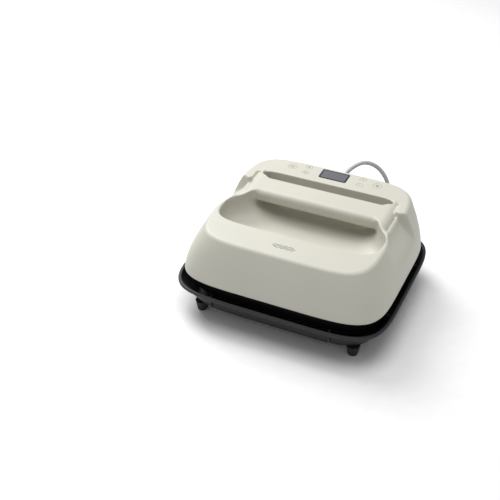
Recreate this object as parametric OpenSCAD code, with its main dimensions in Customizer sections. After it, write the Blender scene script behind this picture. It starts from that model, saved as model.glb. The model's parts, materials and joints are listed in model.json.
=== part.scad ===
// Hand-held heat press with a 12 x 10 in plate, standing in its safety base.
// Millimetres. X is to the right, Y to the back, Z up, and the floor is z = 0.

/* [Safety base] */
// Width across the rim
base_width = 360; // [320:1:400]
// Depth across the rim
base_depth = 314; // [280:1:350]
// Height of the rim above the floor
base_rim_height = 58; // [40:1:70]
// Height of the tray's underside above the floor
foot_height = 18; // [10:1:25]
// Wall thickness of the tray
tray_wall = 3; // [2:0.5:5]

/* [Housing] */
// Width of the shell at its lower edge
shell_width = 343.5; // [300:0.5:380]
// Depth of the shell at its lower edge
shell_depth = 290; // [250:0.5:330]
// Height of the shell's lower edge
shell_bottom = 73; // [60:1:80]
// Wall thickness of the mouldings
wall = 3; // [2:0.5:4]
// Depth of the waist on each side
waist_depth = 16; // [0:1:30]

/* [Deck] */
// Width of the flat deck
deck_width = 287.4; // [240:0.1:320]
// Front edge of the deck
deck_front = -117; // [-130:1:-100]
// Back edge of the deck
deck_back = 145; // [130:1:148]
// Height of the deck above the floor at y = 0
deck_height = 149; // [130:1:170]
// Backward rise of the deck in degrees
deck_tilt = 2.5; // [0:0.1:5]

/* [Hand well and handle] */
// Depth of the well below the deck
well_depth = 48; // [40:1:55]
// Front lip of the well
well_front = -62; // [-75:1:-50]
// Back edge of the slot behind the handle
well_back = 97; // [90:1:105]
// Front edge of the handle bar
bar_front = 33; // [25:1:40]
// Back edge of the handle bar
bar_back = 82; // [75:1:90]
// Thickness of the handle bar
bar_thickness = 23; // [18:1:28]

/* [Controls] */
// Width of the display window
display_width = 49; // [40:1:60]
// Height of the display window
display_height = 27; // [20:1:35]
// Radius of the two main buttons
main_button_radius = 7.5; // [5:0.5:10]
// Radius of the four small buttons
small_button_radius = 5.5; // [4:0.5:8]
// Gap around each button
button_gap = 0.25; // [0.1:0.05:0.5]

/* [Heating] */
// Width of the heat plate
plate_width = 305; // [290:1:315]
// Depth of the heat plate
plate_depth = 254; // [240:1:265]
// Height of the plate's working face above the floor
plate_bottom = 36; // [30:1:45]
// Thickness of the heat plate
plate_thickness = 8; // [5:1:12]

/* [Cord] */
// Diameter of the mains cord
cord_diameter = 7.5; // [6:0.5:9]
// Outer radius of the tied coil
coil_radius = 55; // [48:0.5:70]
// Width of the coil's bundle of turns
bundle_width = 27.5; // [20:0.5:32]
// Height of the coil's bundle of turns
bundle_height = 15; // [12:0.5:24]

/* [Hidden] */
// The sub-parts in the order they are built
$fn = 48;
// Fullness of the rounded-square outlines
outline_power = 5.6;
// How late the walls lean in towards the deck
lean_power = 1.6;
edge_radius = 4;
side_steps = 96;
post_fn = 20;
rim_power = 5.65;
plate_top = plate_bottom + plate_thickness;
shield_height = 62.5;
board_height = 72;
board_top = board_height + 1.6;
// Control board's underside below the deck
panel_drop = 14;
end_radius = 18;
end_start = 112;
horn_inner = 127;
bar_mid = (bar_front + bar_back) / 2;
well_mid = (well_front + well_back) / 2;
well_half = (well_back - well_front) / 2;
foot_x = 131;
foot_y = 118;
housing_screw_places = [for (x = [-154.5, 154.5]) for (y = [-78, 0, 78]) [x, y]];
plate_screw_places = [for (x = [-112, 0, 112]) for (y = [-95, 95]) [x, y]];
board_spacer_places = [for (x = [-64, 64]) for (y = [-14, 90]) [x, y]];
panel_screw_places = [for (x = [-90, 90]) for (y = [108, 133]) [x, y]];
handle_screw_places = [for (x = [-84, -28, 28, 84]) [x, bar_mid]];
small_button_x = 48.8;
small_button_y = [115.7, 133.3];
main_button_x = 76.5;
main_button_y = 125;
boot_start = [0, 146, 108];
boot_rise = 42;
coil_centre = [8, 232, 1];
// The cord's way from the boot, up over its arch and down to the coil
cord_route = [[0, 158, 119], [8, 178, 139], [28, 196, 150], [50, 208, 140], [67, 216, 113],
    [72, 220, 78], [73, 224, 46], [70, 234, 20], [63, 246, 8], [52.4, 257.6, 4.8]];
// The short end from the coil to the plug
lead_route = [[-42.6, 232, 12.3], [-44, 214, 10], [-50, 198, 7], [-61, 186, 5], [-75, 180, 7],
    [-90, 179, 11]];
plug_place = [-90, 179, 11];

// Smooth step from 0 at a to 1 at b
function ss(a, b, v) = let(u = min(1, max(0, (v - a) / (b - a)))) u * u * (3 - 2 * u);
function mix(a, b, u) = a + (b - a) * u;
function reach(a, b, n, phi) = pow(pow(abs(cos(phi)) / a, n) + pow(abs(sin(phi)) / b, n), -1 / n);
function rounded_square(w, d, n, steps) = [for (i = [0:steps - 1])
    let(phi = 360 * i / steps, r = reach(w / 2, d / 2, n, phi)) [r * cos(phi), r * sin(phi)]];
function deck_at(y) = deck_height + y * tan(deck_tilt);
function waist(y, drop) = (waist_depth - 4 * max(0, 1 - drop / 9)) * (ss(-30, 22, y) - ss(62, 69, y))
    * (1 - ss(14, 50, drop));
// One point of the shell: t from lower edge to deck, moved in by inset and down by drop
function shell_point(phi, t, inset, drop) = let(
    lean = pow(max(0, t), lean_power),
    half = mix(shell_width, deck_width, lean) / 2 - inset,
    front = mix(-shell_depth / 2, deck_front, lean) + inset,
    back = mix(shell_depth / 2, deck_back, lean) - inset,
    r = reach(half, (back - front) / 2, outline_power, phi),
    x = r * cos(phi),
    y = (back + front) / 2 + r * sin(phi),
    z = shell_bottom + t * (deck_at(y) - shell_bottom) - drop)
    [x - sign(x) * waist(y, deck_at(y) - z), y, z];
function shell_ring(t, inset, drop, steps) =
    [for (i = [0:steps - 1]) shell_point(360 * i / steps, t, inset, drop)];
function edge_rings(r, inset, drop, steps) = [for (a = [0, 45, 90])
    shell_ring(1, inset + r * (1 - cos(a)), drop + r * (1 - sin(a)), steps)];
// Half width of the well, narrower where the handle crosses it
function well_reach(y) = 137 - 28 * ss(-15, 38, y) + 10 * ss(78, 90, y);
function well_ring(d, grow, steps) = let(
    u = d / (well_depth + grow),
    b = (well_half + grow) * pow(1 - pow(u, 2.6), 1 / 2.6),
    k = pow(1 - pow(u, 4), 1 / 4))
    [for (i = [0:steps - 1]) let(phi = 360 * i / steps,
        r = reach(133, b, phi < 180 ? 12 : 7, phi), y = well_mid + r * sin(phi),
        x = r * cos(phi) / 133 * (well_reach(y) * k + grow)) [x, y, -d]];
function blend(a, b, c, d, u) = 0.5 * ((2 * b) + (c - a) * u + (2 * a - 5 * b + 4 * c - d) * u * u
    + (3 * b - a - 3 * c + d) * u * u * u);
function route_points(p, per) = let(n = len(p)) [for (i = [0:n - 2]) for (k = [0:per - 1])
    blend(p[max(0, i - 1)], p[i], p[i + 1], p[min(n - 1, i + 2)], k / per), p[n - 1]];
function unit(v) = v / norm(v);
function heading(p, i) = unit(p[min(len(p) - 1, i + 1)] - p[max(0, i - 1)]);
function side_of(h) = unit(cross(h, [0.05, 0.1, 1]));
function tube_ring(p, i, r, sides) = let(h = heading(p, i), s = side_of(h), t = cross(s, h))
    [for (k = [0:sides - 1]) let(a = 360 * k / sides) p[i] + r * (cos(a) * s + sin(a) * t)];

module on_deck() {
    translate([0, 0, deck_height])
    rotate([deck_tilt, 0, 0])
    children();
}

// Closed solid through a list of rings, given from the bottom up
module loft(rings) {
    n = len(rings[0]);
    last = len(rings) - 1;
    points = [for (ring = rings) for (p = ring) p];
    sides = [for (j = [0:last - 1]) for (i = [0:n - 1])
        let(a = j * n + i, b = j * n + (i + 1) % n) each [[a, a + n, b + n], [a, b + n, b]]];
    bottom = [for (i = [0:n - 1]) i];
    top = [for (i = [n - 1:-1:0]) last * n + i];
    polyhedron(points = points, faces = concat([bottom], sides, [top]), convexity = 8);
}

module tube(route, per, r, sides) {
    p = route_points(route, per);
    loft([for (i = [0:len(p) - 1]) tube_ring(p, i, r, sides)]);
}

module slab(w, d, h, n = outline_power) {
    linear_extrude(height = h)
    polygon(rounded_square(w, d, n, 96));
}

module taper(w0, d0, w1, d1, h, n = rim_power) {
    low = rounded_square(w0, d0, n, 96);
    high = rounded_square(w1, d1, n, 96);
    loft([[for (p = low) [p[0], p[1], 0]], [for (p = high) [p[0], p[1], h]]]);
}

module at_places(places, z) {
    for (p = places) {
        translate([p[0], p[1], z])
        children();
    }
}

module rounded_box(w, d, h, r) {
    linear_extrude(height = h)
    polygon([for (c = [[1, 1, 0], [-1, 1, 90], [-1, -1, 180], [1, -1, 270]]) for (a = [0:15:90])
        [c[0] * (w / 2 - r) + r * cos(c[2] + a), c[1] * (d / 2 - r) + r * sin(c[2] + a)]]);
}

// ---- safety base ----

module base_tray() {
    color([0.07, 0.07, 0.08])
    union() {
        difference() {
            union() {
                translate([0, 0, foot_height])
                taper(314, 267, base_width - 5, base_depth - 5, base_rim_height - foot_height);
                translate([0, 0, base_rim_height - 5])
                slab(base_width, base_depth, 5, rim_power);
            }
            translate([0, 0, foot_height + tray_wall])
            taper(308, 261, base_width - 10, base_depth - 10, base_rim_height - foot_height);
        }
        // seats that carry the plate clear of the floor of the tray
        at_places([for (x = [-105, 105]) for (y = [-85, 85]) [x, y]], foot_height + 2)
        cylinder(h = plate_bottom - foot_height - 5.3, r1 = 13, r2 = 11);
        // ribs that centre the press
        intersection() {
            translate([0, 0, foot_height])
            taper(312, 265, base_width - 7, base_depth - 7, base_rim_height - foot_height);
            union() {
                for (x = [-1, 1]) {
                    for (y = [-70, 70]) {
                        translate([x * 170 - 7, y - 1.5, 30])
                        cube([14, 3, 25]);
                    }
                }
                for (y = [-1, 1]) {
                    for (x = [-100, 100]) {
                        translate([x - 1.5, y * 147 - 7, 30])
                        cube([3, 14, 25]);
                    }
                }
            }
        }
    }
}

module base_feet() {
    color([0.05, 0.05, 0.05])
    at_places([for (x = [-foot_x, foot_x]) for (y = [-foot_y, foot_y]) [x, y]], 0)
    rotate_extrude()
    polygon([[0, 0], [6.5, 0], [7.6, 0.5], [8.1, 1.6], [11, foot_height], [0, foot_height]]);
}

module rest_pads() {
    color([0.45, 0.12, 0.1])
    at_places([for (x = [-105, 105]) for (y = [-85, 85]) [x, y]], plate_bottom - 3.3)
    cylinder(h = 3, r = 9);
}

// ---- housing ----

module shell_solid(inset, drop, r, steps) {
    low = drop > 0 ? -0.03 : 0;
    difference() {
        loft(concat([for (t = [low, 0.2, 0.4, 0.58, 0.73, 0.87])
            shell_ring(t, inset, 0, steps)], edge_rings(r, inset, drop, steps)));
        // the two ends of the handle round over the waist
        for (s = [-1, 1]) {
            on_deck()
            difference() {
                union() {
                    translate([s * (end_start + 20) - 20, 16 - inset, -9 - inset])
                    cube([40, 50 + 2 * inset, 30]);
                    translate([s * horn_inner / 2 - horn_inner / 2 - inset, 60, -9 - inset])
                    cube([horn_inner + 2 * inset, 30 + inset, 30]);
                }
                translate([s * end_start, 0, -end_radius])
                rotate([-90, 0, 0])
                cylinder(h = 110, r = end_radius - inset, $fn = 64);
                translate([-end_start, 0, -30])
                cube([2 * end_start, 110, 60]);
            }
        }
    }
}

module well_solid(grow) {
    steps = 96;
    deep = well_depth + grow;
    on_deck()
    loft([for (u = [0.985, 0.94, 0.87, 0.78, 0.66, 0.5, 0.32, 0.16, 0.04])
        well_ring(u * deep, grow, steps)]);
}

module well_mouth() {
    ring = well_ring(0.04 * well_depth, 0, 96);
    on_deck()
    translate([0, 0, -8])
    linear_extrude(height = 16)
    polygon([for (p = ring) [p[0], p[1]]]);
}

// The handle bar's section, running left to right
module bar(length, shrink) {
    r = 9 - shrink;
    on_deck()
    translate([-length / 2, 0, 0])
    rotate([90, 0, 90])
    linear_extrude(height = length)
    polygon([for (c = [[1, 0, 0], [0, 0, 90], [0, 1, 180], [1, 1, 270]]) for (a = [0:15:90])
        [(c[0] == 1 ? bar_back - shrink - r : bar_front + shrink + r) + r * cos(c[2] + a),
        (c[1] == 1 ? shrink + r - bar_thickness : -shrink - r) + r * sin(c[2] + a)]]);
}

module bar_half(above) {
    on_deck()
    translate([-130, bar_front - 5, above ? -12 : -42])
    cube([260, bar_back - bar_front + 10, above ? 20 : 29.8]);
}

module control_holes() {
    on_deck()
    union() {
        translate([0, 125, -8])
        rounded_box(display_width + 0.4, display_height + 0.4, 16, 3);
        for (s = [-1, 1]) {
            translate([s * main_button_x, main_button_y, -8])
            cylinder(h = 16, r = main_button_radius + button_gap, $fn = 40);
            for (y = small_button_y) {
                translate([s * small_button_x, y, -8])
                cylinder(h = 16, r = small_button_radius + button_gap, $fn = 40);
            }
        }
    }
}

module top_housing() {
    color([0.8, 0.78, 0.7])
    resize([0, 0, 0])
    union() {
        difference() {
            shell_solid(0, 0, edge_radius, side_steps);
            shell_solid(wall, wall, 1.5, side_steps);
            well_mouth();
            control_holes();
            translate([0, 130, boot_start[2]])
            rotate([-90, 0, 0])
            cylinder(h = 30, r = 5.2, $fn = 28);
        }
        difference() {
            intersection() {
                bar(221, 0.1);
                bar_half(true);
            }
            bar(240, 2.8);
        }
        // posts for the handle's lower half
        intersection() {
            bar(221, 0.5);
            on_deck()
            difference() {
                at_places(handle_screw_places, -11.8)
                cylinder(h = 11, r = 4, $fn = post_fn);
                at_places(handle_screw_places, -12)
                cylinder(h = 8, r = 1.55, $fn = post_fn);
            }
        }
        // posts for the control board
        on_deck()
        difference() {
            at_places(panel_screw_places, 1.6 - panel_drop)
            cylinder(h = panel_drop - 3.6, r = 3.5, $fn = post_fn);
            at_places(panel_screw_places, 1.5 - panel_drop)
            cylinder(h = 8, r = 1.3, $fn = post_fn);
        }
        // posts that stand on the skirt's ledge
        difference() {
            intersection() {
                at_places(housing_screw_places, 63)
                cylinder(h = 50, r = 4.5, $fn = post_fn);
                union() {
                    shell_solid(1, 1, 1.5, 60);
                    translate([-170, -100, 60])
                    cube([340, 200, 14]);
                }
            }
            at_places(housing_screw_places, 62)
            cylinder(h = 20, r = 1.55, $fn = post_fn);
        }
    }
}

module hand_well() {
    color([0.78, 0.76, 0.68])
    resize([0, 0, 0])
    difference() {
        intersection() {
            well_solid(2.5);
            shell_solid(wall, wall, 1.5, side_steps);
        }
        well_solid(0);
        bar(240, 0);
    }
}

module handle_underside() {
    color([0.76, 0.74, 0.66])
    difference() {
        intersection() {
            bar(225, 0);
            bar_half(false);
        }
        difference() {
            bar(220, 2.8);
            on_deck()
            at_places(handle_screw_places, -22)
            cylinder(h = 9.8, r = 4);
        }
        on_deck()
        at_places(handle_screw_places, -25)
        cylinder(h = 14, r = 1.75);
        on_deck()
        at_places(handle_screw_places, -25)
        cylinder(h = 5, r = 3.4);
    }
}

module handle_screws() {
    color([0.6, 0.6, 0.62])
    on_deck()
    at_places(handle_screw_places, -20)
    rotate_extrude()
    polygon([[0, -2], [2, -2], [2.9, -1.2], [2.9, 0], [1.5, 0], [1.5, 14], [0, 14.5]]);
}

module lower_skirt() {
    color([0.05, 0.05, 0.055])
    difference() {
        union() {
            difference() {
                translate([0, 0, plate_top])
                taper(314, 263, 336, 282, 32, outline_power);
                translate([0, 0, plate_top - 0.5])
                taper(309, 258, 331, 277, 33, outline_power);
            }
            translate([0, 0, 60])
            difference() {
                slab(325, 271, 2.5);
                translate([0, 0, -1])
                slab(300, 250, 5);
            }
        }
        at_places(housing_screw_places, 55)
        cylinder(h = 10, r = 1.75);
    }
}

module housing_screws() {
    color([0.35, 0.35, 0.36])
    at_places(housing_screw_places, 60)
    rotate_extrude()
    polygon([[0, -2.2], [2, -2.2], [3, -1.3], [3, 0], [1.5, 0], [1.5, 16], [0, 17]]);
}

// ---- heating ----

module heat_plate() {
    color([0.75, 0.76, 0.78])
    difference() {
        union() {
            translate([0, 0, plate_bottom + 1])
            slab(plate_width, plate_depth, plate_thickness - 1);
            translate([0, 0, plate_bottom])
            slab(plate_width - 2, plate_depth - 2, 1.5);
        }
        at_places(plate_screw_places, plate_top - 5)
        cylinder(h = 6, r = 1.55);
    }
}

module heater_bend(x, y, turn) {
    translate([x, y, 0])
    rotate([0, 0, turn])
    rotate_extrude(angle = 180)
    translate([22, 0])
    circle(r = 3.5);
}

module heater_run(x0, x1, y) {
    translate([x0, y, 0])
    rotate([0, 90, 0])
    cylinder(h = x1 - x0, r = 3.5);
}

module heating_element() {
    color([0.42, 0.4, 0.38])
    translate([0, 0, plate_top + 3.5])
    union() {
        for (y = [-66, -22, 22, 66]) {
            heater_run(-105, 105, y);
        }
        heater_run(-105, 105, 110);
        heater_bend(105, -44, -90);
        heater_bend(-105, 0, 90);
        heater_bend(105, 44, -90);
        heater_bend(-105, 88, 90);
        translate([-105, -66, 0])
        rotate([0, -90, 0])
        cylinder(h = 12, r = 2.5);
        translate([105, 110, 0])
        rotate([0, 90, 0])
        cylinder(h = 12, r = 2.5);
    }
}

module thermal_cutoff() {
    color([0.82, 0.8, 0.74])
    translate([0, 44, plate_top])
    union() {
        cylinder(h = 4.5, r = 8);
        translate([-12, -3, 0])
        cube([24, 6, 1.2]);
    }
}

module temperature_sensor() {
    color([0.7, 0.7, 0.72])
    translate([0, -44, plate_top])
    union() {
        translate([-10, -5, 0])
        cube([20, 10, 1.2]);
        translate([0, 0, 3.1])
        rotate([0, 90, 0])
        cylinder(h = 16, r = 2.2, center = true);
    }
}

module insulation_blanket() {
    color([0.9, 0.89, 0.85])
    translate([0, 0, plate_top + 8])
    difference() {
        slab(294, 244, 9);
        at_places(plate_screw_places, -1)
        cylinder(h = 12, r = 4.5);
        at_places([[124, 102], [-110, -70]], -1)
        cylinder(h = 12, r = 8);
    }
}

module plate_standoffs() {
    color([0.66, 0.66, 0.68])
    at_places(plate_screw_places, plate_top)
    difference() {
        cylinder(h = shield_height - plate_top, r = 3.5);
        translate([0, 0, -1])
        cylinder(h = 30, r = 1.75);
    }
}

module heat_shield() {
    color([0.72, 0.73, 0.75])
    difference() {
        translate([0, 0, shield_height])
        slab(306, 254, 1.2);
        at_places(plate_screw_places, shield_height - 1)
        cylinder(h = 4, r = 1.75);
        at_places([[124, 102], [-110, -70]], shield_height - 1)
        cylinder(h = 4, r = 4);
        at_places(housing_screw_places, shield_height - 1)
        cylinder(h = 4, r = 5.2);
    }
}

module plate_screws() {
    color([0.7, 0.7, 0.72])
    at_places(plate_screw_places, shield_height + 1.2)
    rotate_extrude()
    polygon([[0, 2.4], [2, 2.4], [3, 1.4], [3, 0], [1.5, 0], [1.5, -23], [0, -23.5]]);
}

// ---- power electronics ----

module board_spacers() {
    color([0.85, 0.85, 0.82])
    at_places(board_spacer_places, shield_height + 1.2)
    difference() {
        cylinder(h = board_height - shield_height - 1.2, r = 3.5);
        translate([0, 0, 2.8])
        cylinder(h = 10, r = 1.3);
    }
}

module power_board() {
    color([0.12, 0.35, 0.2])
    difference() {
        translate([-70, -20, board_height])
        cube([140, 116, 1.6]);
        at_places(board_spacer_places, board_height - 1)
        cylinder(h = 4, r = 1.6);
    }
}

module power_relay() {
    color([0.1, 0.2, 0.45])
    translate([20, 40, board_top])
    rounded_box(22, 17, 15.5, 1);
}

module transformer() {
    color([0.75, 0.62, 0.15])
    translate([-38, 10, board_top])
    union() {
        translate([-16, -10, 0])
        cube([32, 20, 17]);
        translate([-11, -14, 2])
        cube([22, 28, 13]);
    }
}

module capacitors() {
    color([0.15, 0.15, 0.2])
    union() {
        at_places([[0, 4], [0, 24]], board_top)
        cylinder(h = 16, r = 6.5);
        at_places([[-40, 52]], board_top)
        cylinder(h = 12, r = 5);
    }
}

module triac_heatsink() {
    color([0.5, 0.51, 0.53])
    translate([44, 66, board_top])
    union() {
        translate([-14, -6, 0])
        cube([28, 12, 2.5]);
        for (x = [-14:6.375:12]) {
            translate([x, -6, 0])
            cube([2.5, 12, 15]);
        }
    }
}

module line_fuse() {
    color([0.8, 0.8, 0.82])
    translate([48, 34, board_top + 3.5])
    union() {
        rotate([90, 0, 0])
        cylinder(h = 20, r = 2.6, center = true);
        for (y = [-8, 8]) {
            translate([-3.5, y - 1.5, -3.5])
            cube([7, 3, 4.5]);
        }
    }
}

module terminal_block() {
    color([0.16, 0.4, 0.26])
    difference() {
        translate([-16, 82, board_top])
        cube([32, 10, 13]);
        at_places([for (x = [-10.5, -3.5, 3.5, 10.5]) [x, 87]], board_top + 6)
        cylinder(h = 10, r = 2.2);
    }
}

module element_leads() {
    color([0.85, 0.83, 0.75])
    union() {
        tube([[117.5, 110, 47.5], [121, 106, 52], [124, 102, 60], [124, 102, 68], [102, 95, 76],
            [66, 88, 77]], 3, 1.3, 8);
        tube([[-117.5, -66, 47.5], [-114, -68, 52], [-110, -70, 60], [-110, -70, 68],
            [-98, -50, 76], [-68, -16, 77]], 3, 1.3, 8);
    }
}

module mains_leads() {
    color([0.5, 0.32, 0.15])
    for (k = [-1, 0, 1]) {
        tube([[k * 2.6, 140, 108], [k * 4, 130, 106], [k * 6, 116, 97], [k * 7, 100, 91],
            [k * 7 + 3.5, 88, 86], [k * 7 + 3.5, 87, 81]], 3, 1.2, 8);
    }
}

// ---- control panel ----

module control_board() {
    color([0.1, 0.3, 0.18])
    on_deck()
    difference() {
        translate([-98, 103.5, -panel_drop])
        cube([196, 33, 1.6]);
        at_places(panel_screw_places, -panel_drop - 1)
        cylinder(h = 4, r = 1.6);
    }
}

module board_screws() {
    color([0.7, 0.7, 0.72])
    union() {
        at_places(board_spacer_places, board_top)
        rotate_extrude()
        polygon([[0, 2], [1.8, 2], [2.6, 1.2], [2.6, 0], [1.25, 0], [1.25, -6], [0, -6.5]]);
        on_deck()
        at_places(panel_screw_places, -panel_drop)
        rotate_extrude()
        polygon([[0, -2], [1.8, -2], [2.6, -1.2], [2.6, 0], [1.25, 0], [1.25, 7], [0, 7.5]]);
    }
}

module tact_switches() {
    color([0.2, 0.2, 0.21])
    on_deck()
    for (s = [-1, 1]) {
        at_places([[s * main_button_x, main_button_y], [s * small_button_x, small_button_y[0]],
            [s * small_button_x, small_button_y[1]]], 1.6 - panel_drop)
        union() {
            translate([-3, -3, 0])
            cube([6, 6, 1.8]);
            cylinder(h = 2.4, r = 1.6);
        }
    }
}

module buzzer() {
    color([0.08, 0.08, 0.08])
    on_deck()
    translate([30, 122, -panel_drop - 7])
    difference() {
        cylinder(h = 7, r = 6);
        translate([0, 0, -1])
        cylinder(h = 2, r = 1);
    }
}

module display_module() {
    color([0.3, 0.31, 0.33])
    on_deck()
    translate([0, 125, 1.6 - panel_drop])
    union() {
        rounded_box(46, 25, 7, 1);
        translate([0, 0, 7])
        rounded_box(42, 21, 2.6, 0.5);
    }
}

module display_window() {
    color([0.05, 0.05, 0.06])
    on_deck()
    translate([0, 125, -2.6])
    union() {
        translate([0, 0, 0.4])
        rounded_box(display_width, display_height, 2.1, 3);
        rounded_box(display_width - 2, display_height - 2, 0.6, 2);
    }
}

module ribbon_cable() {
    color([0.6, 0.6, 0.62])
    union() {
        translate([-62, 105, 82])
        cube([20, 0.9, 57]);
        translate([-62, 105.9, 83])
        rotate([180 - 38, 0, 0])
        translate([0, -0.4, 0])
        cube([20, 17, 0.9]);
    }
}

module button(radius, x, y) {
    on_deck()
    translate([x, y, 0])
    union() {
        translate([0, 0, -7.5])
        cylinder(h = 7.5, r = radius);
        translate([0, 0, -5.5])
        cylinder(h = 1.6, r = radius + 1.4);
        translate([0, 0, -9.2])
        cylinder(h = 2, r = 2);
    }
}

module power_button() {
    color([0.79, 0.77, 0.69])
    button(main_button_radius, -main_button_x, main_button_y);
}

module temperature_button() {
    color([0.79, 0.77, 0.69])
    button(small_button_radius, -small_button_x, small_button_y[1]);
}

module timer_button() {
    color([0.79, 0.77, 0.69])
    button(small_button_radius, -small_button_x, small_button_y[0]);
}

module plus_button() {
    color([0.79, 0.77, 0.69])
    button(small_button_radius, small_button_x, small_button_y[1]);
}

module minus_button() {
    color([0.79, 0.77, 0.69])
    button(small_button_radius, small_button_x, small_button_y[0]);
}

module start_button() {
    color([0.79, 0.77, 0.69])
    button(main_button_radius, main_button_x, main_button_y);
}

// ---- mains cord ----

module cord_clamp() {
    color([0.1, 0.1, 0.1])
    translate([-12, 132, 101])
    difference() {
        cube([24, 8, 14]);
        translate([12, -1, 7])
        rotate([-90, 0, 0])
        cylinder(h = 12, r = 5.2);
    }
}

module cord_boot() {
    color([0.55, 0.55, 0.56])
    translate(boot_start)
    union() {
        translate([0, -6, 0])
        rotate([-90, 0, 0])
        cylinder(h = 8, r = 5);
        rotate([-90 + boot_rise, 0, 0])
        cylinder(h = 24, r1 = 7.6, r2 = 4.8, $fn = 48);
        translate([0, -0.5, 0])
        rotate([-90, 0, 0])
        cylinder(h = 2.2, r = 9.5);
    }
}

module power_cord() {
    color([0.68, 0.68, 0.7])
    union() {
        tube(cord_route, 5, cord_diameter / 2, 10);
        tube(lead_route, 4, cord_diameter / 2, 10);
    }
}

// The bundle's section, grown on every side
module bundle(grow) {
    r = cord_diameter / 2 + grow;
    w = bundle_width + 2 * grow;
    h = bundle_height + 2 * grow;
    polygon([for (c = [[1, 1, 0], [0, 1, 90], [0, 0, 180], [1, 0, 270]]) for (a = [0:15:90])
        [coil_radius + grow - w + r + c[0] * (w - 2 * r) + r * cos(c[2] + a),
        r - grow + c[1] * (h - 2 * r) + r * sin(c[2] + a)]]);
}

module cord_coil() {
    color([0.68, 0.68, 0.7])
    translate(coil_centre)
    rotate_extrude($fn = 64)
    bundle(0);
}

module cord_tie() {
    color([0.12, 0.12, 0.12])
    translate(coil_centre)
    rotate([0, 0, 250])
    rotate([90, 0, 0])
    linear_extrude(height = 8, center = true)
    difference() {
        bundle(0.9);
        bundle(-0.4);
    }
}

module mains_plug() {
    color([0.66, 0.66, 0.68])
    translate(plug_place)
    rotate([0, -90, 0])
    union() {
        translate([0, 0, -4])
        cylinder(h = 12, r1 = 5, r2 = 7);
        translate([0, 0, 8])
        cylinder(h = 22, r1 = 9, r2 = 10.8);
        translate([0, 0, 30])
        cylinder(h = 4, r = 10.8);
    }
}

module plug_pins() {
    color([0.8, 0.72, 0.45])
    translate(plug_place)
    rotate([0, -90, 0])
    union() {
        for (y = [-6.35, 6.35]) {
            translate([-3 - 3.2, y - 0.75, 34])
            cube([6.4, 1.5, 17]);
        }
        translate([4.5, 0, 34])
        cylinder(h = 19, r = 2.4);
    }
}

base_tray();
base_feet();
rest_pads();
top_housing();
hand_well();
handle_underside();
handle_screws();
lower_skirt();
housing_screws();
heat_plate();
heating_element();
thermal_cutoff();
temperature_sensor();
insulation_blanket();
plate_standoffs();
heat_shield();
plate_screws();
board_spacers();
power_board();
power_relay();
transformer();
capacitors();
triac_heatsink();
line_fuse();
terminal_block();
element_leads();
mains_leads();
control_board();
board_screws();
tact_switches();
buzzer();
display_module();
display_window();
ribbon_cable();
power_button();
temperature_button();
timer_button();
plus_button();
minus_button();
start_button();
cord_clamp();
cord_boot();
power_cord();
cord_coil();
cord_tie();
mains_plug();
plug_pins();
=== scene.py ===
"""Looks for a hand-held heat press that stands in its safety base.

Metres in Blender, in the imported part's own frame. Dimensions below are in millimetres and are turned
into metres by MM, because the part's drawing is in millimetres.
"""

import json
import math

import bpy
import numpy as np
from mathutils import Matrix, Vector, geometry


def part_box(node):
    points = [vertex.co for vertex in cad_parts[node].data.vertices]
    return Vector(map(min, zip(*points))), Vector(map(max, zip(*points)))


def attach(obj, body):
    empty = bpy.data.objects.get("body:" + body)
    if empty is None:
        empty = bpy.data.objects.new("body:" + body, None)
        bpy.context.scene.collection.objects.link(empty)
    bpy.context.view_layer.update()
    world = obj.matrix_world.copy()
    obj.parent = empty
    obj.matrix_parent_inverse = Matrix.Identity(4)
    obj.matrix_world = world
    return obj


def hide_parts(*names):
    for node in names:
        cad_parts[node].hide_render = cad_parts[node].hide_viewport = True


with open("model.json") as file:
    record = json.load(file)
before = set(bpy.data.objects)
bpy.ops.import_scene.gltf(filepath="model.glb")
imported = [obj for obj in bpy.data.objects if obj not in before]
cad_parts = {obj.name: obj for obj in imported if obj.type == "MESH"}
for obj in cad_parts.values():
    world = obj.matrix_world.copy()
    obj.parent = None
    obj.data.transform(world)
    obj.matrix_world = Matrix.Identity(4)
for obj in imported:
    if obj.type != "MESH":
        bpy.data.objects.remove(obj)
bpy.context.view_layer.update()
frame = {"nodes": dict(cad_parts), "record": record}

MM = 0.001

# ---- camera, first; the cord's route below was laid out in its view ----


def make_camera():
    data = bpy.data.cameras.new("camera")
    data.lens = 64.78
    data.sensor_width = 36.0
    data.clip_start = 0.05
    camera = bpy.data.objects.new("camera", data)
    bpy.context.collection.objects.link(camera)
    camera.location = Vector((429.1, -1129.2, 942.3)) * MM
    target = Vector((-88.0, -25.4, 70.3)) * MM
    camera.rotation_euler = (target - camera.location).to_track_quat("-Z", "Y").to_euler()
    bpy.context.scene.camera = camera


make_camera()

# ---- dimensions shared with the part, in millimetres ----

SHELL_W, SHELL_D, SHELL_BOTTOM = 343.5, 290.0, 73.0
DECK_W, DECK_FRONT, DECK_BACK = 287.4, -117.0, 145.0
DECK_Z, DECK_TILT = 149.0, math.radians(2.5)
OUTLINE_POWER, LEAN_POWER = 5.6, 1.6
WAIST, WAIST_EASE = 16.0, 4.0
WELL_DEPTH, WELL_FRONT, WELL_BACK = 48.0, -62.0, 97.0
BAR_FRONT, BAR_BACK, BAR_THICK = 33.0, 82.0, 23.0
STRAP_START, STRAP_RADIUS, STRAP_DROP = 112.0, 18.0, 9.0
HORN_INNER, HORN_FRONT = 127.0, 67.0
WELL_MID, WELL_HALF = (WELL_FRONT + WELL_BACK) / 2, (WELL_BACK - WELL_FRONT) / 2
PANEL_Y = 125.0
DISPLAY_W, DISPLAY_H = 49.0, 27.0
MAIN_X, MAIN_R, SMALL_X, SMALL_R, GAP = 76.5, 7.5, 48.8, 5.5, 0.25
SMALL_Y = (115.7, 133.3)

# ---- materials ----


def nodes_of(name):
    material = bpy.data.materials.new(name)
    material.use_nodes = True
    tree = material.node_tree
    return material, tree, tree.nodes["Principled BSDF"]


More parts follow.
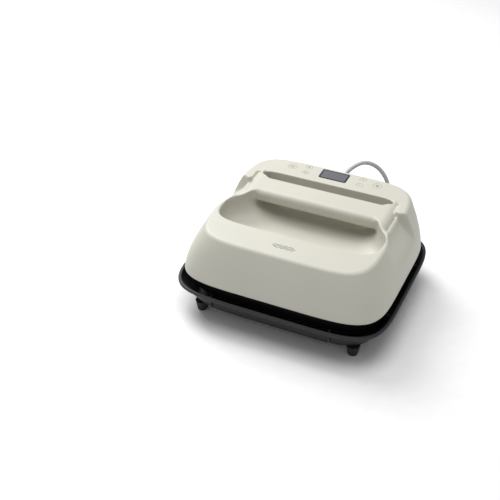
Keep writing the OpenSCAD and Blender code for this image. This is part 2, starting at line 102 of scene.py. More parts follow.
def noise(tree, scale, detail=4.0, rough=0.5):
    coords = tree.nodes.new("ShaderNodeTexCoord")
    texture = tree.nodes.new("ShaderNodeTexNoise")
    texture.inputs["Scale"].default_value = scale
    texture.inputs["Detail"].default_value = detail
    texture.inputs["Roughness"].default_value = rough
    tree.links.new(coords.outputs["Object"], texture.inputs["Vector"])
    return texture


def ramp(tree, source, low, high, start=0.35, end=0.65):
    blend = tree.nodes.new("ShaderNodeValToRGB")
    blend.color_ramp.elements[0].position = start
    blend.color_ramp.elements[1].position = end
    blend.color_ramp.elements[0].color = (*low, 1)
    blend.color_ramp.elements[1].color = (*high, 1)
    tree.links.new(source, blend.inputs["Fac"])
    return blend.outputs["Color"]


def bump(tree, shader, source, strength, distance):
    node = tree.nodes.new("ShaderNodeBump")
    node.inputs["Strength"].default_value = strength
    node.inputs["Distance"].default_value = distance
    tree.links.new(source, node.inputs["Height"])
    tree.links.new(node.outputs["Normal"], shader.inputs["Normal"])


def spread(tree, source, low, high):
    node = tree.nodes.new("ShaderNodeMapRange")
    node.inputs["From Min"].default_value = 0.3
    node.inputs["From Max"].default_value = 0.7
    node.inputs["To Min"].default_value = low
    node.inputs["To Max"].default_value = high
    tree.links.new(source, node.inputs["Value"])
    return node.outputs["Result"]


def surface(name, colour, rough, vary=0.03, grain=900.0, depth=0.00002, metal=0.0, coat=0.0, strength=0.3):
    """A moulded, rubber or metal surface: slight colour drift, uneven gloss and a fine raised grain."""
    material, tree, shader = nodes_of(name)
    low = tuple(max(0.0, c * (1 - vary)) for c in colour)
    high = tuple(min(1.0, c * (1 + vary)) for c in colour)
    drift = noise(tree, 14.0, 3.0)
    tree.links.new(ramp(tree, drift.outputs["Fac"], low, high), shader.inputs["Base Color"])
    fine = noise(tree, grain, 2.0)
    tree.links.new(spread(tree, fine.outputs["Fac"], rough - 0.04, rough + 0.04), shader.inputs["Roughness"])
    bump(tree, shader, fine.outputs["Fac"], strength, depth)
    shader.inputs["Metallic"].default_value = metal
    shader.inputs["Coat Weight"].default_value = coat
    shader.inputs["Coat Roughness"].default_value = 0.15
    return material


def brushed(name, colour, rough):
    """Metal drawn or rolled one way: the grain is stretched along X."""
    material, tree, shader = nodes_of(name)
    coords = tree.nodes.new("ShaderNodeTexCoord")
    stretch = tree.nodes.new("ShaderNodeMapping")
    stretch.inputs["Scale"].default_value = (30, 900, 900)
    texture = tree.nodes.new("ShaderNodeTexNoise")
    texture.inputs["Scale"].default_value = 1.0
    texture.inputs["Detail"].default_value = 3.0
    tree.links.new(coords.outputs["Object"], stretch.inputs["Vector"])
    tree.links.new(stretch.outputs["Vector"], texture.inputs["Vector"])
    low = tuple(c * 0.9 for c in colour)
    tree.links.new(ramp(tree, texture.outputs["Fac"], low, colour), shader.inputs["Base Color"])
    gloss = spread(tree, texture.outputs["Fac"], rough - 0.08, rough + 0.08)
    tree.links.new(gloss, shader.inputs["Roughness"])
    bump(tree, shader, texture.outputs["Fac"], 0.15, 0.00002)
    shader.inputs["Metallic"].default_value = 1.0
    return material


def fibre(name, colour):
    """Ceramic wool: soft, matted and uneven."""
    material, tree, shader = nodes_of(name)
    mat = noise(tree, 260.0, 6.0, 0.7)
    low = tuple(c * 0.82 for c in colour)
    tree.links.new(ramp(tree, mat.outputs["Fac"], low, colour), shader.inputs["Base Color"])
    shader.inputs["Roughness"].default_value = 0.95
    shader.inputs["Sheen Weight"].default_value = 0.3
    bump(tree, shader, mat.outputs["Fac"], 0.8, 0.0004)
    return material


MATERIALS = {
    "housing_plastic": surface("housing_plastic", (0.56, 0.55, 0.478), 0.46, 0.012, 1100.0, 0.00003),
    "button_plastic": surface("button_plastic", (0.55, 0.54, 0.468), 0.44, 0.01, 1100.0, 0.00002),
    "black_plastic": surface("black_plastic", (0.008, 0.008, 0.010), 0.55, 0.08, 900.0, 0.00003),
    "black_rubber": surface("black_rubber", (0.014, 0.014, 0.015), 0.7, 0.1, 700.0, 0.00004),
    "silicone": surface("silicone", (0.36, 0.07, 0.05), 0.55, 0.06, 600.0, 0.00003),
    "steel": surface("steel", (0.56, 0.56, 0.58), 0.32, 0.04, 500.0, 0.00001, metal=1.0),
    "plate_metal": brushed("plate_metal", (0.66, 0.66, 0.68), 0.34),
    "sheet_metal": brushed("sheet_metal", (0.6, 0.61, 0.63), 0.3),
    "element_metal": surface("element_metal", (0.2, 0.18, 0.165), 0.55, 0.15, 260.0, 0.00003, metal=0.8),
    "ceramic_body": surface("ceramic_body", (0.74, 0.71, 0.62), 0.5, 0.04, 500.0, 0.00003),
    "fibre_blanket": fibre("fibre_blanket", (0.78, 0.76, 0.7)),
    "board": surface("board", (0.02, 0.16, 0.06), 0.35, 0.12, 200.0, 0.00002, coat=0.4),
    "part_blue": surface("part_blue", (0.03, 0.08, 0.3), 0.3, 0.05, 500.0, 0.00001, coat=0.3),
    "part_yellow": surface("part_yellow", (0.55, 0.36, 0.03), 0.45, 0.08, 400.0, 0.00003),
    "part_black": surface("part_black", (0.02, 0.02, 0.024), 0.45, 0.08, 600.0, 0.00002),
    "part_green": surface("part_green", (0.03, 0.2, 0.09), 0.4, 0.06, 500.0, 0.00002),
    "fin_metal": brushed("fin_metal", (0.3, 0.31, 0.33), 0.42),
    "fuse_glass": surface("fuse_glass", (0.7, 0.7, 0.72), 0.15, 0.03, 300.0, 0.00001, coat=0.6),
    "lead_sleeve": surface("lead_sleeve", (0.72, 0.69, 0.58), 0.6, 0.05, 500.0, 0.00003),
    "brown_sleeve": surface("brown_sleeve", (0.2, 0.09, 0.035), 0.5, 0.08, 500.0, 0.00002),
    "ribbon": surface("ribbon", (0.42, 0.42, 0.45), 0.4, 0.05, 400.0, 0.00002),
    "cord_grey": surface("cord_grey", (0.46, 0.46, 0.48), 0.42, 0.03, 700.0, 0.00003),
    "brass": surface("brass", (0.72, 0.55, 0.25), 0.25, 0.05, 400.0, 0.00001, metal=1.0),
    "window": surface("window", (0.008, 0.008, 0.01), 0.12, 0.05, 200.0, 0.000003, coat=1.0),
}
DISPLAY_AREA = surface("display_area", (0.13, 0.125, 0.145), 0.22, 0.04, 200.0, 0.000005, coat=0.8)
INK = surface("ink", (0.06, 0.058, 0.052), 0.5, 0.05, 600.0, 0.000005)


def dress(obj, slot_name, extra=()):
    obj.data.materials.clear()
    for material in (MATERIALS[slot_name], *extra):
        obj.data.materials.append(material)


for part in frame["record"]["subparts"]:
    dress(frame["nodes"][part["node"]], part["material_slot"])

# ---- mesh helpers ----


def mesh_object(name, points, faces, smooth=True):
    """A piece from points in millimetres."""
    data = bpy.data.meshes.new(name)
    data.from_pydata([tuple(np.asarray(p, float) * MM) for p in points], [], faces)
    data.validate()
    obj = bpy.data.objects.new(name, data)
    bpy.context.collection.objects.link(obj)
    data.polygons.foreach_set("use_smooth", [smooth] * len(data.polygons))
    return obj


def piece(obj, body, slot_name, nodes=(), extra=()):
    dress(obj, slot_name, extra)
    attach(obj, body)
    if nodes:
        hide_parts(*nodes)
    return obj


def ring_faces(count, rings, closed_start=True, closed_end=True):
    faces = []
    for j in range(rings - 1):
        for i in range(count):
            k = (i + 1) % count
            faces.append((j * count + i, j * count + k, (j + 1) * count + k, (j + 1) * count + i))
    if closed_start:
        faces.append(tuple(reversed(range(count))))
    if closed_end:
        faces.append(tuple(range((rings - 1) * count, rings * count)))
    return faces


def loft(name, rings, closed_start=True, closed_end=True):
    points = [p for ring in rings for p in ring]
    return mesh_object(name, points, ring_faces(len(rings[0]), len(rings), closed_start, closed_end))


def keep_sharp(obj, degrees=35.0):
    """Smooth shading that breaks at real corners."""
    bpy.context.view_layer.objects.active = obj
    for other in bpy.context.selected_objects:
        other.select_set(False)
    obj.select_set(True)
    bpy.ops.object.shade_smooth_by_angle(angle=math.radians(degrees))
    obj.select_set(False)


def superellipse(w, d, n, z, count=256, cy=0.0):
    """A rounded-square ring; its points are spaced evenly by angle."""
    turn = np.linspace(0, 2 * math.pi, count, endpoint=False)
    c, s = np.cos(turn), np.sin(turn)
    r = (np.abs(c / (w / 2)) ** n + np.abs(s / (d / 2)) ** n) ** (-1 / n)
    return [(r[i] * c[i], cy + r[i] * s[i], z) for i in range(count)]


def circle(cx, cy, r, count):
    turns = (2 * math.pi * i / count for i in range(count))
    return [(cx + r * math.cos(a), cy + r * math.sin(a)) for a in turns]


def on_deck(x, y, up=0.0):
    """A point given in the deck's own slanted plane."""
    c, s = math.cos(DECK_TILT), math.sin(DECK_TILT)
    return (x, y * c - up * s, DECK_Z + y * s + up * c)


# ---- cord: boot, arch over the back edge, coil behind the press, plug ----

CORD_R = 3.75
CORD_ROUTE = [
    (0, 158, 119), (8, 178, 139), (28, 196, 150), (50, 208, 140), (67, 216, 113),
    (72, 220, 78), (73, 224, 46), (70, 234, 20), (63, 246, 8), (52.4, 257.6, 4.8),
]
LEAD_ROUTE = [
    (-42.6, 232, 12.3), (-44, 214, 10), (-50, 198, 7), (-61, 186, 5), (-75, 180, 7), (-90, 179, 11),
]
COIL_X, COIL_Y = 8.0, 232.0


def catmull(points, per):
    p = np.asarray(points, float)
    out = []
    for i in range(len(p) - 1):
        a, b, c, d = p[max(0, i - 1)], p[i], p[i + 1], p[min(len(p) - 1, i + 2)]
        for k in range(per):
            u = k / per
            bend, twist = 2 * a - 5 * b + 4 * c - d, 3 * b - a - 3 * c + d
            out.append(0.5 * (2 * b + (c - a) * u + bend * u**2 + twist * u**3))
    out.append(p[-1])
    return out


def coil_points():
    """Two layers of turns: inwards along the floor, then outwards on top of them."""
    out = []
    for turn in range(45, 1980, 15):
        if turn <= 930:
            r, z = 51.25 - 7.5 * (turn - 30) / 360, 4.75
        elif turn < 1110:
            u = (turn - 930) / 180
            r, z = 32.5 - 1.6 * math.sin(math.pi * u), 4.75 + 7.55 * (3 * u * u - 2 * u**3)
        else:
            r, z = 32.5 + 7.5 * (turn - 1110) / 360, 12.3
        a = math.radians(turn)
        out.append(np.array((COIL_X + r * math.cos(a), COIL_Y + r * math.sin(a), z)))
    return out


def make_cord():
    line = catmull(CORD_ROUTE, 5) + coil_points() + catmull(LEAD_ROUTE, 4)
    curve = bpy.data.curves.new("mains_cord", "CURVE")
    curve.dimensions = "3D"
    curve.bevel_depth = CORD_R * MM
    curve.bevel_resolution = 5
    curve.use_fill_caps = True
    spline = curve.splines.new("POLY")
    spline.points.add(len(line) - 1)
    for point, p in zip(spline.points, line):
        point.co = (*(p * MM), 1.0)
    spline.use_smooth = True
    obj = bpy.data.objects.new("mains_cord", curve)
    bpy.context.collection.objects.link(obj)
    steps = np.linalg.norm(np.diff(np.array(line), axis=0), axis=1)
    return obj, float(steps.sum()) * MM


def lathe_rings(base, along, profile, count=64):
    """Rings round an axis; profile gives (distance along the axis, radius)."""
    axis = Vector(along).normalized()
    side = axis.orthogonal().normalized()
    other = axis.cross(side)
    rings = []
    for s, r in profile:
        ring = []
        for i in range(count):
            a = 2 * math.pi * i / count
            p = Vector(base) + axis * s + (side * math.cos(a) + other * math.sin(a)) * r
            ring.append(tuple(p))
        rings.append(ring)
    return rings


def make_boot():
    """Flexible strain relief: a sleeve with flexing grooves that leaves a round seat on the back wall."""
    profile = [(-2.0, 7.0), (1.0, 7.6), (3.6, 7.35)]
    s = 4.2
    while s < 20.5:
        r = 7.6 - 2.8 * s / 24
        profile += [(s, r), (s + 0.15, r - 0.9), (s + 1.0, r - 1.0), (s + 1.15, r - 0.15), (s + 1.3, r - 0.1)]
        profile += [(s + 2.2, r - 0.25)]
        s += 2.7
    profile += [(21.4, 5.2), (22.6, 5.35), (23.6, 5.2), (24.0, 4.7), (24.0, 3.8)]
    obj = loft("cord_boot_body", lathe_rings((0, 146, 108), (0, 0.743, 0.669), profile))
    keep_sharp(obj, 50)
    flange = [(-1.2, 8.9), (0.6, 9.5), (1.4, 9.2), (1.8, 8.4), (1.8, 5.0)]
    seat = loft("cord_boot_seat", lathe_rings((0, 145.6, 108), (0, 1, 0), flange))
    keep_sharp(seat, 40)
    return obj, seat


def make_plug():
    """Moulded mains plug: ribbed neck, flared grip with finger ribs, flat face with three pins."""
    rings = []
    count = 72

    def section(s, w, h, n, shift=0.0):
        ring = []
        for i in range(count):
            a = 2 * math.pi * i / count
            c, d = math.cos(a), math.sin(a)
            r = (abs(c / w) ** n + abs(d / h) ** n) ** (-1 / n)
            ring.append((-90 - s, 179 + r * c, 11 + shift + r * d))
        rings.append(ring)

    s = -4.0
    section(s, 4.7, 4.7, 2)
    while s < 7.4:
        r = 5.0 + 2.0 * (s + 4) / 12
        for step, cut in ((0.1, 0), (1.2, 0), (1.35, 0.8), (2.1, 0.8), (2.25, 0)):
            section(s + step, r - cut, r - cut, 2)
        s += 2.3
    section(8.6, 7.6, 7.4, 2.2)
    section(9.6, 8.7, 8.2, 2.4)
    section(12.0, 9.4, 8.8, 2.7)
    for k in range(5):
        at = 13.5 + 2.6 * k
        w = 9.4 + 0.25 * k
        for step, cut in ((0, 0), (0.5, 0.55), (1.3, 0.55), (1.8, 0)):
            section(at + step, w - cut, 8.8 + 0.2 * k - cut * 0.4, 2.8)
    section(28.0, 10.5, 9.9, 3.0)
    section(30.5, 10.8, 10.5, 3.2)
    section(33.0, 10.8, 10.6, 3.2)
    section(33.8, 10.5, 10.3, 3.2)
    section(34.0, 9.9, 9.7, 3.2)
    obj = loft("plug_body", rings)
    keep_sharp(obj, 40)
    return obj


cord, cord_length = make_cord()
piece(cord, "press", "cord_grey", ("power_cord", "cord_coil"))
boot, boot_seat = make_boot()
piece(boot, "press", "cord_grey", ("cord_boot",))
piece(boot_seat, "press", "cord_grey")
plug = make_plug()
piece(plug, "press", "cord_grey", ("mains_plug",))

# ---- housing: one smooth skin with rounded meetings, from a distance field ----


def ss(a, b, v):
    u = np.clip((v - a) / (b - a), 0, 1)
    return u * u * (3 - 2 * u)


def mix(a, b, u):
    return a + (b - a) * u


def round_union(a, b, r):
    return np.maximum(r, np.minimum(a, b)) - np.hypot(np.maximum(r - a, 0), np.maximum(r - b, 0))


def round_cut(a, b, r):
    """What is inside both a and b, its edge rounded to r."""
    return np.minimum(-r, np.maximum(a, b)) + np.hypot(np.maximum(r + a, 0), np.maximum(r + b, 0))


def deck_top(y):
    return DECK_Z + y * math.tan(DECK_TILT)


def outline_raw(x, y, z):
    top = deck_top(y)
    w = np.clip((z - SHELL_BOTTOM) / (top - SHELL_BOTTOM), 0, 1.04) ** LEAN_POWER
    half = mix(SHELL_W, DECK_W, w) / 2
    front = mix(-SHELL_D / 2, DECK_FRONT, w)
    mid, deep = (DECK_BACK + front) / 2, (DECK_BACK - front) / 2
    drop = top - z
    waist_depth = WAIST - WAIST_EASE * np.clip(1 - drop / STRAP_DROP, 0, 1)
    pinch = waist_depth * (ss(-36, 28, y) - ss(62.5, 68.5, y)) * (1 - ss(14, 50, drop))
    u, v = (np.abs(x) + pinch) / half, np.abs(y - mid) / deep
    return (u**OUTLINE_POWER + v**OUTLINE_POWER) ** (1 / OUTLINE_POWER) - 1


def well_raw(x, y, z):
    deep = np.maximum(deck_top(y) - z, 0) / WELL_DEPTH
    fx = np.abs(x) / (137 - 28 * ss(-15, 38, y) + 10 * ss(78, 90, y))
    fy = np.abs(y - WELL_MID) / WELL_HALF
    n = np.where(y > WELL_MID, 12.0, 7.0)
    p, q = fx**n, fy**n
    e = 2.6 + 1.4 * p / (p + q + 1e-12)
    return ((p + q + 1e-12) ** (e / n) + deep**e) ** (1 / e) - 1


def as_distance(raw, x, y, z, e=0.05):
    """Divides a field by its own slope, so that it measures millimetres near the surface."""
    here = raw(x, y, z)
    gx, gy, gz = raw(x + e, y, z) - here, raw(x, y + e, z) - here, raw(x, y, z + e) - here
    return here * e / np.maximum(np.sqrt(gx * gx + gy * gy + gz * gz), 1e-5 * e)


def bar_field(x, y, h):
    """The handle bar: flat sides below, its upper edges are rounded with the deck's own edge."""
    across = np.abs(y - (BAR_FRONT + BAR_BACK) / 2) - (BAR_BACK - BAR_FRONT) / 2
    return np.maximum(round_cut(across, -(h + BAR_THICK), 9.5), x - 119)


def cap_field(x, y, h):
    """Everything under the deck, with the handle's ends rolling over the waist between the two horns."""
    flat = h * math.cos(DECK_TILT)
    rolled = np.hypot(np.maximum(x - STRAP_START, 0), np.maximum(h + STRAP_RADIUS, 0)) - STRAP_RADIUS
    rolled = np.minimum(rolled, h + STRAP_DROP)
    strap = mix(flat, rolled, ss(4, 26, y))
    horn_front = HORN_FRONT - 8 * ss(128, 136, x)
    horn = round_cut(HORN_INNER - x, horn_front - y, 3.0)
    behind = round_union(horn, 91.5 - y, 6.0)
    blend_r = 6.0 * ss(112, 118, x) * (1 - ss(93, 98, y)) + 0.01
    return round_union(strap, round_cut(flat, behind, 2.2), blend_r)


def skin_parts(x, y, z):
    x = np.abs(x)
    h = z - deck_top(y)
    outer = as_distance(outline_raw, x, y, z)
    well = as_distance(well_raw, x, y, z)
    return x, h, outer, well, bar_field(x, y, h)


def skin_field(x, y, z):
    x, h, outer, well, bar = skin_parts(x, y, z)
    walls = round_union(np.maximum(outer, -well), bar, 6.0)
    walls = np.maximum(walls, outer)
    near_bar = (ss(20, 28, y) - ss(86.5, 90, y)) * (1 - ss(98, 110, x))
    inner_r = 2.4 + 7.5 * near_bar
    outer_r = mix(3.6, 5.5, ss(60, 120, y))
    edge_r = mix(inner_r, outer_r, ss(-11, -6, outer))
    return round_cut(walls, cap_field(x, y, h), edge_r)


def skin_slope(p, e=0.04):
    g = np.empty_like(p)
    for k in range(3):
        step = np.zeros(3)
        step[k] = e
        g[:, k] = (skin_field(*(p + step).T) - skin_field(*(p - step).T)) / (2 * e)
    return g


def surface_net(values, origin, step):
    """Quads through the cells of a grid that a surface crosses, one point in each."""
    inside = values < 0
    size = np.array(values.shape)
    corners = [(i, j, k) for i in (0, 1) for j in (0, 1) for k in (0, 1)]

    def corner(array, c):
        return array[c[0] : size[0] - 1 + c[0], c[1] : size[1] - 1 + c[1], c[2] : size[2] - 1 + c[2]]

    count = sum(corner(inside, c).astype(np.int8) for c in corners)
    cells = np.argwhere((count > 0) & (count < 8))
    total, hits = np.zeros((len(cells), 3)), np.zeros(len(cells))
    for a in corners:
        for axis in range(3):
            if a[axis]:
                continue
            b = list(a)
            b[axis] = 1
            va = values[tuple((cells + a).T)]
            vb = values[tuple((cells + b).T)]
            cross = (va < 0) != (vb < 0)
            t = np.where(cross, va / np.where(cross, va - vb, 1), 0)
            point = np.array(a, float)[None, :].repeat(len(cells), 0)
            point[:, axis] += t
            total += point * cross[:, None]
            hits += cross
    points = origin + step * (cells + total / hits[:, None])
    index = -np.ones(size - 1, np.int64)
    index[tuple(cells.T)] = np.arange(len(cells))
    quads = []
    for axis in range(3):
        o1, o2 = [k for k in range(3) if k != axis]
        low = [slice(None)] * 3
        high = [slice(None)] * 3
        low[axis], high[axis] = slice(0, -1), slice(1, None)
        change = inside[tuple(low)] != inside[tuple(high)]
        where = np.argwhere(change)
        for other in (o1, o2):
            where = where[(where[:, other] > 0) & (where[:, other] < size[other] - 1)]
        ring = []
        for d1, d2 in ((0, 0), (-1, 0), (-1, -1), (0, -1)):
            cell = where.copy()
            cell[:, o1] += d1
            cell[:, o2] += d2
            ring.append(index[tuple(cell.T)])
        quad = np.stack(ring, 1)
        flip = inside[tuple(where.T)] == (axis == 1)
        quad[flip] = quad[flip][:, ::-1]
        quads.append(quad)
    return points, np.concatenate(quads)


STEP = 1.5


def make_skin():
    nx = int(175.5 / STEP) + 1
    xs = (np.arange(nx) + 0.5) * STEP
    ys = np.arange(-148.7, 149, STEP)
    zs = SHELL_BOTTOM + 0.6 - STEP / 2 + STEP * np.arange(int(86 / STEP))
    grid = np.meshgrid(xs, ys, zs, indexing="ij")
    half = skin_field(*[g.astype(np.float64) for g in grid])
    values = np.concatenate([half[::-1], half])
    origin = np.array([-xs[-1], ys[0], zs[0]])
    points, quads = surface_net(values, origin, STEP)
    low = points[:, 2] < zs[1]
    for _ in range(4):
        slope = skin_slope(points)
        level = skin_field(*points.T)
        move = -level[:, None] * slope / np.maximum((slope**2).sum(1), 0.05)[:, None]
        size = np.linalg.norm(move, axis=1, keepdims=True)
        points = points + move * np.minimum(1, 0.8 / np.maximum(size, 1e-9))
        points[low, 2] = SHELL_BOTTOM + 0.6
    slope = skin_slope(points)
    normals = slope / np.maximum(np.linalg.norm(slope, axis=1, keepdims=True), 1e-9)
    return points, quads, normals


skin_points, skin_quads, skin_normals = make_skin()


# Openings in the control strip: centre, half size and corner radius in the deck's own plane
OPENINGS = [(0.0, PANEL_Y, DISPLAY_W / 2 + 0.2, DISPLAY_H / 2 + 0.2, 3.2)]
for side in (-1, 1):
    OPENINGS.append((side * MAIN_X, PANEL_Y, MAIN_R + GAP, MAIN_R + GAP, MAIN_R + GAP))
    for small_y in SMALL_Y:
        OPENINGS.append((side * SMALL_X, small_y, SMALL_R + GAP, SMALL_R + GAP, SMALL_R + GAP))


def opening_loop(opening, grow, up):
    cx, cy, hw, hd, r = opening
    r = r + grow
    loop = []
    per = 8 if hw > hd else 16
    for corner, (sx, sy) in enumerate(((1, 1), (-1, 1), (-1, -1), (1, -1))):
        for k in range(per):
            a = math.radians(90 * corner + 90 * k / per)
            x = cx + sx * (hw + grow - r) + r * math.cos(a)
            y = cy + sy * (hd + grow - r) + r * math.sin(a)
            loop.append(on_deck(x, y, up))
    return loop


def outside_opening(opening, x, y):
    cx, cy, hw, hd, r = opening
    qx, qy = np.abs(x - cx) - (hw - r), np.abs(y - cy) - (hd - r)
    return np.hypot(np.maximum(qx, 0), np.maximum(qy, 0)) + np.minimum(np.maximum(qx, qy), 0) - r


def in_loop(loop, p):
    x, y = loop[:, 0], loop[:, 1]
    x2, y2 = np.roll(x, -1), np.roll(y, -1)
    crosses = (y > p[1]) != (y2 > p[1])
    at = x + (p[1] - y) * (x2 - x) / np.where(y2 == y, 1e-12, y2 - y)
    return bool(((at > p[0]) & crosses).sum() % 2)


def open_deck(points, quads, normals):
    """Cuts each opening out of the deck and fills the ragged gap round it with a flat collar."""
    points, normals = list(points), list(normals)
    all_points = np.array(points)
    height = all_points[:, 2] - deck_top(all_points[:, 1])
    triangles = []
    keep = np.ones(len(quads), bool)
    deck_normal = np.array((0, -math.sin(DECK_TILT), math.cos(DECK_TILT)))
    cos_tilt = math.cos(DECK_TILT)
    for opening in OPENINGS:
        flat_y = all_points[:, 1] / cos_tilt
        near = (outside_opening(opening, all_points[:, 0], flat_y) < 0.9) & (height > -2)
        gone = near[quads].any(1) & keep
        keep &= ~gone
        edges = {}
        for quad in quads[gone]:
            for k in range(4):
                edges[(int(quad[k]), int(quad[(k + 1) % 4]))] = True
        border = {a: b for (a, b) in edges if (b, a) not in edges}
        order = [next(iter(border))]
        while border[order[-1]] != order[0]:
            order.append(border[order[-1]])
        rim = opening_loop(opening, 0.3, 0.0)
        base = len(points)
        points.extend(np.array(p) for p in rim)
        normals.extend([deck_normal] * len(rim))
        names = order + list(range(base, base + len(rim)))
        flat = [Vector((points[i][0], points[i][1])) for i in names]
        n1, n2 = len(order), len(rim)
        lines = [(i, (i + 1) % n1) for i in range(n1)] + [(n1 + i, n1 + (i + 1) % n2) for i in range(n2)]
        made = geometry.delaunay_2d_cdt(flat, lines, [], 0, 1e-7)
        outer = np.array([flat[i] for i in range(n1)])
        inner = np.array([flat[n1 + i] for i in range(n2)])
        source = [names[orig[0]] for orig in made[3]]
        for face in made[2]:
            middle = sum((made[0][i] for i in face), Vector((0, 0))) / len(face)
            if in_loop(outer, middle) and not in_loop(inner, middle):
                a, b, c = (made[0][i] for i in face)
                turn = (b.x - a.x) * (c.y - a.y) - (b.y - a.y) * (c.x - a.x)
                names_of = [source[i] for i in face]
                triangles.append(names_of if turn > 0 else names_of[::-1])
    return np.array(points), quads[keep], triangles, np.array(normals)


def skin_piece(name, points, faces, normals):
    """A piece of the skin that keeps the whole skin's normals, so that no border shows."""
    used = sorted({i for face in faces for i in face})
    place = {old: new for new, old in enumerate(used)}
    obj = mesh_object(name, points[used], [tuple(place[i] for i in face) for face in faces])
    data = obj.data
    if len(data.vertices) == len(used):
        data.normals_split_custom_set_from_vertices([tuple(n) for n in normals[used]])
    return obj


def make_housing():
    points, quads, triangles, normals = open_deck(skin_points, skin_quads, skin_normals)
    centre = points[quads].mean(1)
    x, h, outer, well, bar = skin_parts(*centre.T)
    flat_bar = np.abs(bar) < np.abs(well)
    is_bar = flat_bar & (h < -12.2) & (x < 104) & (np.abs(bar) < 0.4) & (centre[:, 1] < 84)
    is_well = ~is_bar & (np.abs(well) < 0.7) & (h < -3.2)
    top_faces = [tuple(q) for q in quads[~is_bar & ~is_well].tolist()] + [tuple(t) for t in triangles]
    top = skin_piece("housing_shell", points, top_faces, normals)
    well_piece = skin_piece("hand_recess", points, [tuple(q) for q in quads[is_well].tolist()], normals)
    grip = skin_piece("handle_lower_half", points, [tuple(q) for q in quads[is_bar].tolist()], normals)
    return top, well_piece, grip


def make_lip():
    """The shell's lower edge, turned in to the wall's thickness."""
    count = 720
    rings = []
    profile = [(0.0, 73.62), (0.08, 73.3), (0.35, 73.05), (0.8, 73.0), (2.4, 73.0), (2.8, 73.3), (3.0, 82.0)]
    for inset, z in profile:
        ring = superellipse(SHELL_W - 2 * inset, SHELL_D - 2 * inset, OUTLINE_POWER, z, count)
        rings.append(ring)
    obj = loft("housing_lower_edge", rings[::-1], False, False)
    keep_sharp(obj, 50)
    return obj


shell_piece, well_piece, grip_piece = make_housing()
piece(shell_piece, "press", "housing_plastic", ("top_housing",))
piece(well_piece, "press", "housing_plastic", ("hand_well",))
piece(grip_piece, "press", "housing_plastic", ("handle_underside",))
piece(make_lip(), "press", "housing_plastic")


def make_collars():
    """Walls of the openings, with a small rounded edge at the deck."""
    points, faces = [], []
    for opening in OPENINGS:
        rings = [
            opening_loop(opening, 0.3, 0.0), opening_loop(opening, 0.1, -0.07),
            opening_loop(opening, 0.0, -0.3), opening_loop(opening, 0.0, -3.2),
        ]
        base, n = len(points), len(rings[0])
        points += [p for ring in rings for p in ring]
        for face in ring_faces(n, len(rings), False, False):
            faces.append(tuple(base + i for i in reversed(face)))
    obj = mesh_object("opening_edges", points, faces)
    keep_sharp(obj, 60)
    return obj


piece(make_collars(), "press", "housing_plastic")

# ---- buttons, display and their marks ----


def deck_lathe(name, cx, cy, profile, count=72):
    rings = [[on_deck(x, y, up) for x, y in circle(cx, cy, r, count)] for r, up in profile]
    obj = loft(name, rings)
    keep_sharp(obj, 45)
    return obj


def stroke_mesh(name, strokes, cx, cy, up):
    """Thin raised ink lines. Each stroke is (points, width, closed), in the deck's plane."""
    points, faces = [], []
    for line, width, closed in strokes:
        p = np.asarray(line, float)
        n = len(p)
        ahead = np.roll(p, -1, 0) if closed else np.vstack([p[1:], 2 * p[-1] - p[-2]])
        behind = np.roll(p, 1, 0) if closed else np.vstack([2 * p[0] - p[1], p[:-1]])
        along = ahead - behind
        along /= np.linalg.norm(along, axis=1, keepdims=True)
        across = np.stack([-along[:, 1], along[:, 0]], 1) * width / 2
        base = len(points)
        for i in range(n):
            for side, lift in ((1, 0.03), (-1, 0.03), (-1, -0.05), (1, -0.05)):
                q = p[i] + side * across[i]
                points.append(on_deck(cx + q[0], cy + q[1], up + lift))
        for i in range(n if closed else n - 1):
            j = (i + 1) % n
            for k in range(4):
                m = (k + 1) % 4
                faces.append((base + 4 * i + k, base + 4 * j + k, base + 4 * j + m, base + 4 * i + m))
        if not closed:
            faces.append(tuple(base + k for k in range(4)))
            faces.append(tuple(base + 4 * (n - 1) + k for k in reversed(range(4))))
    return mesh_object(name, points, faces, False)


def arc(cx, cy, r, start, end, steps=28):
    return [
        (cx + r * math.cos(math.radians(start + (end - start) * k / steps)),
         cy + r * math.sin(math.radians(start + (end - start) * k / steps)))
        for k in range(steps + 1)
    ]


def ring_line(cx, cy, r, steps=40):
    return arc(cx, cy, r, 0, 360, steps)[:-1]


def wave(cx, low, high, swing, steps=24):
    parts = (k / steps for k in range(steps + 1))
    return [(cx + swing * math.sin(2 * math.pi * u), low + (high - low) * u) for u in parts]


BOLD, THIN, FINE = 0.75, 0.4, 0.3
STEM_X = 0.42

# Each mark is a list of strokes: (points, width, closed)
POWER_MARK = [(arc(0, 0, 2.5, 125, 415), BOLD, False), ([(0, 0.6), (0, 3.3)], BOLD, False)]
HEAT_MARK = [(wave(x, -2.4, 2.4, 0.55), BOLD, False) for x in (-1.9, 0, 1.9)]
THERMOMETER = [
    (ring_line(0, -1.5, 0.85), THIN, True),
    ([(-STEM_X, -0.7), (-STEM_X, 1.9)], FINE, False),
    ([(STEM_X, -0.7), (STEM_X, 1.9)], FINE, False),
    (arc(0, 1.9, STEM_X, 0, 180, 12), FINE, False),
    ([(0, -1.5), (0, 0.9)], THIN, False),
]
CLOCK = [(ring_line(0, 0, 2.0), THIN, True), ([(0, 1.3), (0, 0), (0.95, -0.55)], THIN, False)]
MINUS = [([(-1.7, 0), (1.7, 0)], 0.5, False)]
PLUS = MINUS + [([(0, -1.7), (0, 1.7)], 0.5, False)]
ICONS = {
    "power_button": POWER_MARK,
    "start_button": HEAT_MARK,
    "temperature_button": THERMOMETER,
    "timer_button": CLOCK,
    "plus_button": PLUS,
    "minus_button": MINUS,
}


